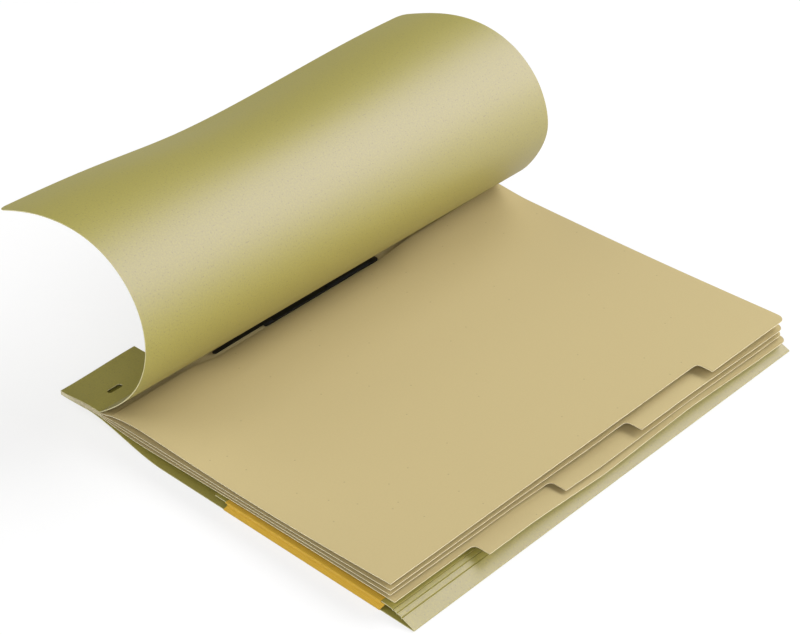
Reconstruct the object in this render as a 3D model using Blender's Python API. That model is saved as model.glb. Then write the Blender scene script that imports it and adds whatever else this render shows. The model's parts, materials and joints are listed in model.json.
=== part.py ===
"""Hanging file folder: a board folder with index dividers, a linen-sided pocket and a fastener.

Lengths are in metres and +Z is up. The folder lies on its back cover with the front cover
curled open. X runs from the spine to the fore edge and Y along the spine. The origin is on
the surface that the folder lies on, under the middle of the whole object.
"""
import math

import bmesh
import bpy

# Overall sizes and stock
FOLDER_LENGTH = 0.318
COVER_WIDTH = 0.265
BOARD = 0.0005
SHEET = 0.00035
LINEN = 0.0003
GAP = 0.0003

# Bound margin at the spine, with a hanging lug at each end
MARGIN_WIDTH = 0.0335
MARGIN_HEIGHT = 0.0092
LUG_LENGTH = 0.0535
RECESS_DEPTH = 0.012
RECESS_FILLET = 0.003
SLOT_LENGTH = 0.010
SLOT_WIDTH = 0.0036
SLOT_FROM_SPINE = 0.0231
SLOT_FROM_END = 0.0195

# Back cover: it comes down from the margin to the table in an S curve
SLOPE_LEAD = 0.0115
SLOPE_RUN = 0.062

# Front cover: straight at the crease, tightest on the way, straight again at the free edge
CURL_START_ANGLE = math.radians(35.4)
CURL_END_ANGLE = math.radians(201.5)
CURL_START_RADIUS = 0.290
CURL_TIGHT_AT = 0.104
COVER_CREASE_GAP = 0.0009
COVER_STRIPS = 12
COVER_CORNER = 0.006

# Dividers, from the top one down
TAB_INSET = 0.004
TAB_DEPTH = 0.0105
LOWEST_STEP = 0.0575
TOP_TAB_LENGTH = 0.071
TAB_FILLET = 0.003
DIVIDER_CORNER = 0.005
CREASE_GAP = 0.0009
CREASE_FROM_BAR = 0.0012
SHOULDER_RUN = 0.027
SHOULDER_RISES = (0.01085, 0.00585, 0.00365, 0.00085)
FORE_RISES = (0.01375, 0.00985, 0.00665, 0.00385)
SAGS = (0.0025, 0.0007, 0.0002, -0.0008)
REACHES = (-0.0011, -0.0012, -0.0013, 0.00165)

# Pocket folded up from the back cover's fore edge
SCORED_WIDTHS = (0.0082, 0.0034, 0.0028, 0.0053)
SCORED_LEANS = (1.5, 1.05, 0.65, 0.3)
POCKET_RISE = 0.00525
POCKET_DEPTH = 0.1406
POCKET_CORNER = 0.001
GUSSET_FROM_MOUTH = 0.0066
GUSSET_FOLD = 0.0026
GUSSET_SHEAR = 0.0035
BAND_WIDTH = 0.012

# Two-prong fastener beside the margin
FASTENER_FROM_MARGIN = 0.006
FASTENER_OFF_MIDDLE = 0.0043
BAR_LENGTH = 0.0935
BAR_WIDTH = 0.005
BAR_THICKNESS = 0.0012
BAR_CORNER = 0.00125
BAR_BEVEL = 0.0004
PRONG_SPACING = 0.080
PRONG_WIDTH = 0.003
PRONG_THICKNESS = 0.0004
PRONG_OUTWARD = 0.0456
PRONG_INWARD = 0.036
PUNCHED_HOLE = 0.0045

# How finely curves are cut
CURL_FACETS = 3
SLOPE_FACETS = 10
LEAF_FACETS = 14
CURL_SAMPLES = 12
CORNER_FACETS = 4
ROUND_FACETS = 20
BEVEL_FACETS = 2

# Heights and places that follow from the sizes above
DIVIDERS = len(SHOULDER_RISES)
DIVIDER_WIDTH = COVER_WIDTH - TAB_INSET - TAB_DEPTH
TAB_PITCH = (FOLDER_LENGTH - LOWEST_STEP - TOP_TAB_LENGTH) / (DIVIDERS - 1)
BACK_MARGIN_Z = MARGIN_HEIGHT + BOARD / 2
FIRST_SHEET_Z = MARGIN_HEIGHT + BOARD + GAP + SHEET / 2
FRONT_MARGIN_Z = FIRST_SHEET_Z + DIVIDERS * (SHEET + GAP) - SHEET / 2 + BOARD / 2
SLOPE_START = MARGIN_WIDTH - SLOPE_LEAD
FOLD_Z = BOARD + GAP + BOARD / 2
FLAP_Z = FOLD_Z + POCKET_RISE
POCKET_TOP = FLAP_Z + BOARD / 2 + GAP + LINEN
LEAN = POCKET_RISE / sum(width * lean for width, lean in zip(SCORED_WIDTHS, SCORED_LEANS))
SCORED_RUNS = [width * math.sqrt(1 - (LEAN * lean) ** 2) for width, lean in zip(SCORED_WIDTHS, SCORED_LEANS)]
STRIP_WIDTH = sum(SCORED_WIDTHS)
FOLD_X = COVER_WIDTH - BOARD / 2
FLAP_X = FOLD_X - sum(SCORED_RUNS)
MOUTH_X = COVER_WIDTH - POCKET_DEPTH
FASTENER_X = MARGIN_WIDTH + FASTENER_FROM_MARGIN
LEAF_CREASE = FASTENER_X + BAR_WIDTH / 2 + CREASE_FROM_BAR
SHOULDER_X = LEAF_CREASE + SHOULDER_RUN
CURL_LENGTH = COVER_WIDTH - MARGIN_WIDTH
MIDDLE_Y = FOLDER_LENGTH / 2
FASTENER_Y = MIDDLE_Y + FASTENER_OFF_MIDDLE
CUTTER_LENGTH = 4 * (FRONT_MARGIN_Z + BAR_THICKNESS)


def clear_scene():
    """Removes whatever the scene holds."""
    for item in list(bpy.data.objects):
        bpy.data.objects.remove(item, do_unlink=True)


def board_material(name, colour, roughness):
    """A plain Principled material with an sRGB colour given as a hex number."""
    channels = [(colour >> shift & 255) / 255 for shift in (16, 8, 0)]
    linear = [c / 12.92 if c <= 0.04045 else ((c + 0.055) / 1.055) ** 2.4 for c in channels]
    material = bpy.data.materials.new(name)
    material.use_nodes = True
    shader = material.node_tree.nodes["Principled BSDF"]
    shader.inputs["Base Color"].default_value = (*linear, 1.0)
    shader.inputs["Roughness"].default_value = roughness
    shader.inputs["Metallic"].default_value = 0.0
    return material


def rounded(corners):
    """Outline through corners (u, v, radius), each rounded by an arc unless its radius is 0."""
    outline = []
    count = len(corners)
    for index, (u, v, radius) in enumerate(corners):
        if radius == 0:
            outline.append((u, v))
            continue
        before = corners[index - 1]
        after = corners[(index + 1) % count]
        start = unit(before[0] - u, before[1] - v)
        end = unit(after[0] - u, after[1] - v)
        centre = (u + (start[0] + end[0]) * radius, v + (start[1] + end[1]) * radius)
        for step in range(CORNER_FACETS + 1):
            turn = math.pi / 2 * step / CORNER_FACETS
            outline.append((
                centre[0] - radius * (end[0] * math.cos(turn) + start[0] * math.sin(turn)),
                centre[1] - radius * (end[1] * math.cos(turn) + start[1] * math.sin(turn)),
            ))
    return outline


def unit(u, v):
    """The direction (u, v) at length 1."""
    length = math.hypot(u, v)
    return u / length, v / length


def bent_point(profile, u):
    """Place of the flat sheet's coordinate u on a profile of stations (u, x, z)."""
    for low, high in zip(profile, profile[1:]):
        if u <= high[0] or high is profile[-1]:
            share = (u - low[0]) / (high[0] - low[0])
            return low[1] + (high[1] - low[1]) * share, low[2] + (high[2] - low[2]) * share


def add_object(name, mesh, material, parent, location=(0, 0, 0), turn=0.0):
    """An object at a place in its parent, turned upwards about Y."""
    thing = bpy.data.objects.new(name, mesh)
    thing.parent = parent
    thing.location = location
    thing.rotation_euler = (0, -turn, 0)
    if material:
        mesh.materials.append(material)
    bpy.context.scene.collection.objects.link(thing)
    return thing


def sheet(name, outline, profile, thickness, material, parent, location=(0, 0, 0), turn=0.0):
    """A sheet cut to a flat outline (u, v), bent along a profile and given its thickness."""
    body = bmesh.new()
    body.faces.new([body.verts.new((u, v, 0)) for u, v in outline])
    for station in profile[1:-1]:
        everything = body.verts[:] + body.edges[:] + body.faces[:]
        bmesh.ops.bisect_plane(body, geom=everything, plane_co=(station[0], 0, 0), plane_no=(1, 0, 0))
    for vert in body.verts:
        x, z = bent_point(profile, vert.co.x)
        vert.co = (x, vert.co.y, z)
    bmesh.ops.recalc_face_normals(body, faces=body.faces[:])
    mesh = bpy.data.meshes.new(name)
    body.to_mesh(mesh)
    body.free()
    thing = add_object(name, mesh, material, parent, location, turn)
    solid = thing.modifiers.new("thickness", "SOLIDIFY")
    solid.thickness = thickness
    solid.offset = 0
    solid.use_even_offset = True
    return thing


def prism(name, outline, depth, to_point, material, parent):
    """A closed solid drawn as an outline (a, b) and extruded to both sides of its plane."""
    body = bmesh.new()
    face = body.faces.new([body.verts.new(to_point(a, b, -depth / 2)) for a, b in outline])
    grown = bmesh.ops.extrude_face_region(body, geom=[face])
    shift = [end - start for start, end in zip(to_point(0, 0, 0), to_point(0, 0, depth))]
    moved = [item for item in grown["geom"] if isinstance(item, bmesh.types.BMVert)]
    bmesh.ops.translate(body, verts=moved, vec=shift)
    bmesh.ops.recalc_face_normals(body, faces=body.faces[:])
    mesh = bpy.data.meshes.new(name)
    body.to_mesh(mesh)
    body.free()
    return add_object(name, mesh, material, parent)


def cutter(name, outline, parent):
    """An upright cutter through the whole bound margin, kept out of the model."""
    tool = prism(name, outline, CUTTER_LENGTH, lambda a, b, c: (a, b, c), None, parent)
    tool.hide_render = True
    tool.display_type = "WIRE"
    return tool


def cut(thing, tools):
    """Cuts each tool out of a solid."""
    for tool in tools:
        hole = thing.modifiers.new(tool.name, "BOOLEAN")
        hole.operation = "DIFFERENCE"
        hole.solver = "EXACT"
        hole.object = tool


def oblong(length, width, centre):
    """Outline of a slot with round ends, long along Y."""
    outline = []
    for end in (1, -1):
        for step in range(ROUND_FACETS // 2 + 1):
            turn = math.pi * step / (ROUND_FACETS // 2) + (0 if end > 0 else math.pi)
            outline.append((
                centre[0] + width / 2 * math.cos(turn),
                centre[1] + end * (length - width) / 2 + width / 2 * math.sin(turn),
            ))
    return outline


def prong_places():
    """Where the fastener's two prongs stand along the spine."""
    return FASTENER_Y - PRONG_SPACING / 2, FASTENER_Y + PRONG_SPACING / 2


def margin_tools(parent):
    """Cutters for the hanging slots and for the holes punched over the prongs."""
    slots = []
    for side, place in (("near", SLOT_FROM_END), ("far", FOLDER_LENGTH - SLOT_FROM_END)):
        outline = oblong(SLOT_LENGTH, SLOT_WIDTH, (SLOT_FROM_SPINE, place))
        slots.append(cutter("slot_cutter_" + side, outline, parent))
    holes = []
    for side, place in zip(("near", "far"), prong_places()):
        outline = oblong(PUNCHED_HOLE, PUNCHED_HOLE, (FASTENER_X, place))
        holes.append(cutter("hole_cutter_" + side, outline, parent))
    return slots, holes


def margin_outline(width):
    """Flat outline from the spine to a width: two lugs with a recess between them."""
    return rounded([
        (0, 0, 0),
        (width, 0, 0),
        (width, FOLDER_LENGTH, 0),
        (0, FOLDER_LENGTH, 0),
        (0, FOLDER_LENGTH - LUG_LENGTH, 0),
        (RECESS_DEPTH, FOLDER_LENGTH - LUG_LENGTH, RECESS_FILLET),
        (RECESS_DEPTH, LUG_LENGTH, RECESS_FILLET),
        (0, LUG_LENGTH, 0),
    ])


def level(start, end, height=0.0):
    """A flat profile."""
    return [(start, start, height), (end, end, height)]


def back_panel(material, parent, slots):
    """Back cover from the spine to the fold at the fore edge."""
    profile = [(0, 0, BACK_MARGIN_Z)]
    for step in range(SLOPE_FACETS + 1):
        share = step / SLOPE_FACETS
        x = SLOPE_START + SLOPE_RUN * share
        drop = (1 + math.cos(math.pi * share)) / 2
        profile.append((x, x, BOARD / 2 + (BACK_MARGIN_Z - BOARD / 2) * drop))
    profile.append((COVER_WIDTH, COVER_WIDTH, BOARD / 2))
    panel = sheet("back_panel", margin_outline(COVER_WIDTH), profile, BOARD, material, parent)
    cut(panel, slots)


def curl_heading(distance):
    """Direction of the front cover at a distance from its crease."""
    start = 1 / CURL_START_RADIUS
    turning = CURL_END_ANGLE - CURL_START_ANGLE
    tight = (2 * turning - start * CURL_TIGHT_AT) / CURL_LENGTH
    first = min(distance, CURL_TIGHT_AT)
    heading = CURL_START_ANGLE + start * first + (tight - start) * first ** 2 / (2 * CURL_TIGHT_AT)
    past = max(distance - CURL_TIGHT_AT, 0)
    return heading + tight * past - tight * past ** 2 / (2 * (CURL_LENGTH - CURL_TIGHT_AT))


def curl_run(start, end, heading):
    """How far the cover goes between two distances, seen along a heading."""
    step = (end - start) / CURL_SAMPLES
    x = z = 0.0
    for index in range(CURL_SAMPLES):
        turn = curl_heading(start + (index + 0.5) * step) - heading
        x += step * math.cos(turn)
        z += step * math.sin(turn)
    return x, z


def front_cover(material, parent, slots):
    """Front cover: its bound margin, then strips from the crease to the free edge."""
    outline = margin_outline(MARGIN_WIDTH - COVER_CREASE_GAP / 2)
    flat = level(0, MARGIN_WIDTH, FRONT_MARGIN_Z)
    margin = sheet("front_cover_margin", outline, flat, BOARD, material, parent)
    cut(margin, slots)
    width = CURL_LENGTH / COVER_STRIPS
    carrier = parent
    place = (MARGIN_WIDTH, 0, FRONT_MARGIN_Z)
    turn = CURL_START_ANGLE
    for index in range(COVER_STRIPS):
        start = index * width
        heading = curl_heading(start)
        profile = []
        for step in range(CURL_FACETS + 1):
            along = width * step / CURL_FACETS
            x, z = curl_run(start, start + along, heading)
            profile.append((along, x, z))
        last = index == COVER_STRIPS - 1
        begin = GAP / 2 if index else COVER_CREASE_GAP / 2
        edge = width if last else width - GAP / 2
        corner = COVER_CORNER if last else 0
        outline = rounded([
            (begin, 0, 0),
            (edge, 0, corner),
            (edge, FOLDER_LENGTH, corner),
            (begin, FOLDER_LENGTH, 0),
        ])
        name = f"front_cover_strip_{index + 1:02d}"
        carrier = sheet(name, outline, profile, BOARD, material, carrier, place, turn)
        place = (profile[-1][1], 0, profile[-1][2])
        turn = curl_heading(start + width) - heading


def divider_z(index):
    """Height of a divider in the bound margin, counted from the top one."""
    return FIRST_SHEET_Z + (DIVIDERS - 1 - index) * (SHEET + GAP)


def leaf_z(index, x):
    """Height of a divider's leaf: up to its shoulder, then on to the fore edge with a sag."""
    shoulder = POCKET_TOP + SHOULDER_RISES[index]
    fore = POCKET_TOP + FORE_RISES[index]
    if x < SHOULDER_X:
        share = (x - LEAF_CREASE) / SHOULDER_RUN
        ease = math.sin(math.pi / 2 * share)
        return divider_z(index) + (shoulder - divider_z(index)) * ease
    share = (x - SHOULDER_X) / (DIVIDER_WIDTH - SHOULDER_X)
    sag = SAGS[index] * math.sin(math.pi * min(share, 1))
    return shoulder + (fore - shoulder) * share - sag


def divider(index, material, parent, slots, holes):
    """One divider: its bound margin under the fastener, and the leaf that turns."""
    number = index + 1
    height = divider_z(index)
    bound = LEAF_CREASE - CREASE_GAP / 2
    flat = level(0, bound, height)
    margin = sheet(f"divider_{number}_margin", margin_outline(bound), flat, SHEET, material, parent)
    cut(margin, slots + holes)
    start = LEAF_CREASE + CREASE_GAP / 2
    width = DIVIDER_WIDTH + REACHES[index]
    tab_edge = width + TAB_DEPTH
    step_y = FOLDER_LENGTH - TOP_TAB_LENGTH - index * TAB_PITCH
    outline = rounded([
        (start, 0, 0),
        (width, 0, 0),
        (width, step_y, TAB_FILLET),
        (tab_edge, step_y, 0),
        (tab_edge, FOLDER_LENGTH, DIVIDER_CORNER),
        (start, FOLDER_LENGTH, 0),
    ])
    shifted = [(u - LEAF_CREASE, v) for u, v in outline]
    profile = []
    ramp = [start + (SHOULDER_X - start) * step / (LEAF_FACETS // 2) for step in range(LEAF_FACETS // 2)]
    body = [SHOULDER_X + (tab_edge - SHOULDER_X) * step / LEAF_FACETS for step in range(LEAF_FACETS + 1)]
    for x in ramp + body:
        profile.append((x - LEAF_CREASE, x - LEAF_CREASE, leaf_z(index, x) - height))
    place = (LEAF_CREASE, 0, height)
    sheet(f"divider_{number}_leaf", shifted, profile, SHEET, material, parent, place)


def pocket(material, linen, parent):
    """Pocket folded up from the fore edge, with a linen gusset at each end."""
    inner = -STRIP_WIDTH + GAP / 2
    outline = [(inner, 0), (0, 0), (0, FOLDER_LENGTH), (inner, FOLDER_LENGTH)]
    scores = [(0, 0, 0)]
    for width, lean, run in zip(SCORED_WIDTHS, SCORED_LEANS, SCORED_RUNS):
        u, x, z = scores[0]
        scores.insert(0, (u - width, x - run, z + width * lean * LEAN))
    sheet("pocket_strip", outline, scores, BOARD, material, parent, (FOLD_X, 0, FOLD_Z))
    depth = FLAP_X - MOUTH_X
    outline = rounded([
        (-depth, 0, POCKET_CORNER),
        (-GAP / 2, 0, 0),
        (-GAP / 2, FOLDER_LENGTH, 0),
        (-depth, FOLDER_LENGTH, POCKET_CORNER),
    ])
    sheet("pocket_flap", outline, level(-depth, 0), BOARD, material, parent, (FLAP_X, 0, FLAP_Z))
    low = BOARD + GAP
    high = FLAP_Z - BOARD / 2 - GAP
    middle = (low + high) / 2
    slant = LINEN * math.hypot(GUSSET_FOLD, middle - low) / (middle - low)
    first = MOUTH_X + GUSSET_FROM_MOUTH
    length = FLAP_X - GUSSET_SHEAR - GAP - first
    for side, edge, inward in (("near", GAP, 1), ("far", FOLDER_LENGTH - GAP, -1)):
        outline = [
            (edge, low),
            (edge + inward * GUSSET_FOLD, middle),
            (edge, high),
            (edge + inward * slant, high),
            (edge + inward * (GUSSET_FOLD + slant), middle),
            (edge + inward * slant, low),
        ]

        def sheared(y, z, x):
            return first + length / 2 + x + GUSSET_SHEAR * (z - low) / (high - low), y, z

        prism("gusset_" + side, outline, length, sheared, linen, parent)
        strip = [(first, 0), (FLAP_X - GAP, 0), (FLAP_X - GAP, BAND_WIDTH), (first, BAND_WIDTH)]
        band = [(u, edge + inward * (v - GAP)) for u, v in strip]
        top = level(first, FLAP_X, POCKET_TOP - LINEN / 2)
        sheet("gusset_band_" + side, band, top, LINEN, linen, parent)


def fastener(material, parent, holes):
    """Two-prong fastener: the prongs come up through the dividers and fold over a bar."""
    near, far = prong_places()
    half = PRONG_THICKNESS / 2
    base_top = divider_z(DIVIDERS - 1) - SHEET / 2 - GAP
    base = base_top - PRONG_THICKNESS
    bar_low = divider_z(0) + SHEET / 2 + GAP
    fold = bar_low + BAR_THICKNESS + GAP
    top = fold + PRONG_THICKNESS
    ends = (FASTENER_Y - BAR_LENGTH / 2, FASTENER_Y + BAR_LENGTH / 2)
    outline = [
        (ends[0], base),
        (ends[1], base),
        (ends[1], base_top),
        (far + half, base_top),
        (far + half, top),
        (far - PRONG_INWARD, top),
        (far - PRONG_INWARD, fold),
        (far - half, fold),
        (far - half, base_top),
        (near + half, base_top),
        (near + half, top),
        (near - PRONG_OUTWARD, top),
        (near - PRONG_OUTWARD, fold),
        (near - half, fold),
        (near - half, base_top),
        (ends[0], base_top),
    ]
    prism("fastener_prongs", outline, PRONG_WIDTH, lambda a, b, c: (FASTENER_X + c, a, b), material, parent)
    corners = [
        (FASTENER_X - BAR_WIDTH / 2, ends[0], BAR_CORNER),
        (FASTENER_X + BAR_WIDTH / 2, ends[0], BAR_CORNER),
        (FASTENER_X + BAR_WIDTH / 2, ends[1], BAR_CORNER),
        (FASTENER_X - BAR_WIDTH / 2, ends[1], BAR_CORNER),
    ]
    middle = bar_low + BAR_THICKNESS / 2
    bar = prism(
        "fastener_bar", rounded(corners), BAR_THICKNESS, lambda a, b, c: (a, b, middle + c), material, parent
    )
    edges = bar.modifiers.new("edges", "BEVEL")
    edges.width = BAR_BEVEL
    edges.segments = BEVEL_FACETS
    cut(bar, holes)


def bar_holes(parent):
    """Cutters for the two holes in the fastener's bar."""
    size = (PRONG_WIDTH / 2 + GAP, PRONG_THICKNESS / 2 + GAP)
    tools = []
    for side, place in zip(("near", "far"), prong_places()):
        outline = [
            (FASTENER_X - size[0], place - size[1]),
            (FASTENER_X + size[0], place - size[1]),
            (FASTENER_X + size[0], place + size[1]),
            (FASTENER_X - size[0], place + size[1]),
        ]
        tools.append(cutter("bar_cutter_" + side, outline, parent))
    return tools


def build():
    """Makes the whole folder around one empty, so that its middle stands on the origin."""
    clear_scene()
    board = board_material("mottled_pressboard", 0xB0A354, 0.45)
    manila = board_material("manila_board", 0xCBB783, 0.6)
    cloth = board_material("bookbinding_linen", 0xD7AF28, 0.8)
    plastic = board_material("black_plastic", 0x141414, 0.4)
    reach = MARGIN_WIDTH + curl_run(0, CURL_LENGTH, 0)[0]
    folder = bpy.data.objects.new("folder", None)
    folder.location = (-(COVER_WIDTH + min(reach, 0)) / 2, -MIDDLE_Y, 0)
    bpy.context.scene.collection.objects.link(folder)
    slots, holes = margin_tools(folder)
    back_panel(board, folder, slots)
    front_cover(board, folder, slots)
    for index in range(DIVIDERS):
        divider(index, manila, folder, slots, holes)
    pocket(board, cloth, folder)
    fastener(plastic, folder, bar_holes(folder))


build()
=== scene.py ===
"""Hanging file folder, dressed: bent board covers, index dividers, pocket, gussets and fastener."""
import json
import math

import bmesh
import bpy
import numpy as np
from bpy.props import FloatProperty, FloatVectorProperty, PointerProperty
from bpy.types import Operator, Panel, PropertyGroup
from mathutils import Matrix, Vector
from mathutils.geometry import tessellate_polygon


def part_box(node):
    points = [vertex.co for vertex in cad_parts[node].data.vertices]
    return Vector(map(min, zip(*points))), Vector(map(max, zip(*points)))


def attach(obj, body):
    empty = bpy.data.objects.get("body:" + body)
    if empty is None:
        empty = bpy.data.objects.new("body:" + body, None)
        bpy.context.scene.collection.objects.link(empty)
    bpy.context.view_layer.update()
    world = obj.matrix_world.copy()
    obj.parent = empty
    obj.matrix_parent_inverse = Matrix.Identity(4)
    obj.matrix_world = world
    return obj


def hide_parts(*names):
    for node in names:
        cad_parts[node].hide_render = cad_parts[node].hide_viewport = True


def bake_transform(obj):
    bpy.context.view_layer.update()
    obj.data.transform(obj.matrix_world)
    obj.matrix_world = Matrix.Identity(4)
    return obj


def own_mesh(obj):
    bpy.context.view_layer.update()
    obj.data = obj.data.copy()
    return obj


bl_info = {
    "name": "Hanging File Folder",
    "version": (1, 0, 0),
    "blender": (4, 5, 0),
    "location": "View3D > Sidebar > Folder",
    "description": "Dresses the solids of an open hanging file folder in board, linen and plastic",
    "category": "Object",
}

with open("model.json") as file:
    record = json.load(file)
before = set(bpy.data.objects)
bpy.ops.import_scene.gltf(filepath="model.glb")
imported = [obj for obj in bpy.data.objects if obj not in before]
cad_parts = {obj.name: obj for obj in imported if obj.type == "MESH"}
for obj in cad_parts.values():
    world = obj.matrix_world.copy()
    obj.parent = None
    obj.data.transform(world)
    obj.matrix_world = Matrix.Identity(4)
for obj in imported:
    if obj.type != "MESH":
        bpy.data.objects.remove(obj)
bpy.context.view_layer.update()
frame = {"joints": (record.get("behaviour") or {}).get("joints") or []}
HINGES = {joint["name"]: Vector(joint["pos_m"]) for joint in frame["joints"]}

# Where the folder lies in the frame: x from the spine, y from the near end, z from the table
SPINE_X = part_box("back_panel")[0].x
NEAR_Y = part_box("back_panel")[0].y
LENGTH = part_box("back_panel")[1].y - NEAR_Y
MIDDLE = LENGTH / 2
COVER_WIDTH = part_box("back_panel")[1].x - SPINE_X
MARGIN_WIDTH = HINGES["cover_swing"].x - SPINE_X
MARGIN_Z = HINGES["cover_swing"].z
BACK_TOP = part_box("back_panel")[1].z
LEAF_CREASE = HINGES["divider_1_turn"].x - SPINE_X
FOLD_X = HINGES["pocket_fold"].x - SPINE_X
FOLD_Z = HINGES["pocket_fold"].z
FLAP_Z = HINGES["pocket_flap_level"].z
MOUTH_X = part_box("pocket_flap")[0].x - SPINE_X
CURL_LENGTH = COVER_WIDTH - MARGIN_WIDTH
STRIPS = 12
STRIP = CURL_LENGTH / STRIPS
DIVIDERS = 4

# The photograph's camera, found from the folder's own edges
CAMERA_PLACE = (0.74653, -0.52624, 0.66972)
CAMERA_AZIMUTH = math.radians(43.011)
CAMERA_ELEVATION = math.radians(34.325)
CAMERA_LENS = 90.71
SENSOR_WIDTH = 36.0


def linear(colour):
    """Linear RGBA of an sRGB hex colour such as "B0A354"."""
    channels = [int(colour[at:at + 2], 16) / 255 for at in (0, 2, 4)]
    light = [c / 12.92 if c <= 0.04045 else ((c + 0.055) / 1.055) ** 2.4 for c in channels]
    return (*light, 1.0)


def size(name, description, default):
    """A length that the user may change."""
    return FloatProperty(name=name, description=description, default=default, unit="LENGTH")


def colour(name, description, default):
    """A colour that the user may change, from its sRGB hex value."""
    return FloatVectorProperty(
        name=name, description=description, default=linear(default), subtype="COLOR", size=4, min=0, max=1)


class FolderSizes(PropertyGroup):
    """Sizes of the folder that its user would change."""

    board: size("Board", "Thickness of the covers", 0.0005)
    sheet: size("Sheet", "Thickness of a divider", 0.00035)
    linen: size("Linen", "Thickness of the gussets' linen", 0.0003)
    lug: size("Lug", "Length of a hanging lug", 0.0535)
    recess: size("Recess", "Depth of the spine recess", 0.012)
    slot_length: size("Slot length", "Length of a hanging slot", 0.010)
    slot_width: size("Slot width", "Width of a hanging slot", 0.0036)
    slot_from_spine: size("Slot from spine", "Spine to the middle of a slot", 0.0231)
    slot_from_end: size("Slot from end", "End of the folder to the middle of a slot", 0.0195)
    curl_radius: size("Crease radius", "Bend of the front cover at its crease", 0.290)
    curl_tight: size("Tightest at", "Crease to the tightest bend of the front cover", 0.104)
    edge_sag: size("Edge sag", "How far the front cover's free edge dips between its ends", 0.0076)
    cover_corner: size("Cover corner", "Radius of the front cover's corners", 0.006)
    tab_depth: size("Tab depth", "How far an index tab stands out", 0.0105)
    band: size("Linen band", "Width of the linen glued on the pocket flap", 0.012)
    curl_start: FloatProperty(
        name="Curl start", description="Rise of the front cover at its crease",
        default=math.radians(35.4), subtype="ANGLE")
    curl_end: FloatProperty(
        name="Curl end", description="Direction of the front cover at its free edge",
        default=math.radians(201.5), subtype="ANGLE")


class FolderColours(PropertyGroup):
    """Colours of the folder's stock."""

    pressboard: colour("Pressboard", "Mottled olive board of the covers", "A49B32")
    manila: colour("Manila", "Board of the dividers", "BAA979")
    linen: colour("Linen", "Dyed linen of the gussets", "D8AE2E")
    plastic: colour("Plastic", "Moulded fastener", "121212")


def add_node(tree, kind, settings, links):
    """A shader node with its settings; links gives each input a value or another node's output."""
    made = tree.nodes.new(kind)
    for key, value in settings.items():
        setattr(made, key, value)
    for key, value in links.items():
        if isinstance(value, bpy.types.NodeSocket):
            tree.links.new(value, made.inputs[key])
        else:
            made.inputs[key].default_value = value
    return made


def fresh_material(name):
    """A material with a Principled shader, its tree and that shader."""
    made = bpy.data.materials.new(name)
    made.use_nodes = True
    return made, made.node_tree, made.node_tree.nodes["Principled BSDF"]


def shaded(colour_now, share):
    """A colour made lighter or darker by a share."""
    return tuple(min(channel * share, 1.0) for channel in colour_now[:3]) + (1.0,)


def millimetres(tree):
    """Coordinates on the flat sheet in millimetres, so a pattern's scale is one over its real size."""
    flat = add_node(tree, "ShaderNodeUVMap", {"uv_map": "flat"}, {})
    return add_node(tree, "ShaderNodeMapping", {}, {
        "Vector": flat.outputs["UV"], "Scale": (1000, 1000, 1000)}).outputs["Vector"]


def pulp(tree, place, base, contrast, grain):
    """Colour and height of pressed pulp: a fine cloudy grain, of a size in millimetres."""
    grains = add_node(tree, "ShaderNodeTexNoise", {"noise_dimensions": "2D"}, {
        "Vector": place, "Scale": 1 / grain, "Detail": 3.0, "Roughness": 0.6})
    level = add_node(tree, "ShaderNodeMapRange", {}, {
        "Value": grains.outputs["Fac"], "From Min": 0.25, "From Max": 0.75})
    mixed = add_node(tree, "ShaderNodeMix", {"data_type": "RGBA"}, {
        "Factor": level.outputs["Result"],
        "A": shaded(base, 1 - contrast), "B": shaded(base, 1 + contrast)})
    return mixed.outputs["Result"], level.outputs["Result"]


def flecked(tree, place, ground, fleck, spacing, width, share, stretch=1.0, turn=0.0):
    """Ground colour with sparse flecks of fibre; their spacing and width are in millimetres."""
    drawn = add_node(tree, "ShaderNodeMapping", {}, {
        "Vector": place, "Rotation": (0, 0, turn), "Scale": (1, 1 / stretch, 1)})
    cells = add_node(tree, "ShaderNodeTexVoronoi", {"voronoi_dimensions": "2D"}, {
        "Vector": drawn.outputs["Vector"], "Scale": 1 / spacing})
    near = add_node(tree, "ShaderNodeMapRange", {}, {
        "Value": cells.outputs["Distance"],
        "From Min": width / spacing, "From Max": 0.4 * width / spacing, "To Max": 0.75})
    chance = add_node(tree, "ShaderNodeSeparateColor", {}, {"Color": cells.outputs["Color"]})
    chosen = add_node(tree, "ShaderNodeMath", {"operation": "LESS_THAN"}, {
        0: chance.outputs["Red"], 1: share})
    amount = add_node(tree, "ShaderNodeMath", {"operation": "MULTIPLY"}, {
        0: near.outputs["Result"], 1: chosen.outputs["Value"]})
    mixed = add_node(tree, "ShaderNodeMix", {"data_type": "RGBA"}, {
        "Factor": amount.outputs["Value"], "A": ground, "B": fleck})
    return mixed.outputs["Result"]


def pressboard_material(colours):
    """Calendered pressboard: mottled pulp with dark fibres, rolled to a broad soft sheen."""
    made, tree, shader = fresh_material("mottled_pressboard")
    place = millimetres(tree)
    base = tuple(colours.pressboard)
    mottled, grain = pulp(tree, place, base, contrast=0.11, grain=1.0)
    specks = flecked(tree, place, mottled, shaded(base, 0.72), spacing=2.6, width=0.5, share=0.28)
    fibres = flecked(
        tree, place, specks, shaded(base, 0.62), spacing=9.0, width=0.35, share=0.10, stretch=5.0, turn=1.2)
    tree.links.new(fibres, shader.inputs["Base Color"])
    rough = add_node(tree, "ShaderNodeMapRange", {}, {"Value": grain, "To Min": 0.54, "To Max": 0.62})
    tree.links.new(rough.outputs["Result"], shader.inputs["Roughness"])
    # Far above the 1.5 of paper, matched to the strong sheen of the rolled face
    shader.inputs["IOR"].default_value = 2.4
    shader.inputs["Specular Tint"].default_value = linear("CEC8FF")
    bump = add_node(tree, "ShaderNodeBump", {}, {"Height": grain, "Strength": 0.05, "Distance": 0.0001})
    tree.links.new(bump.outputs["Normal"], shader.inputs["Normal"])
    return made


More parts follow.
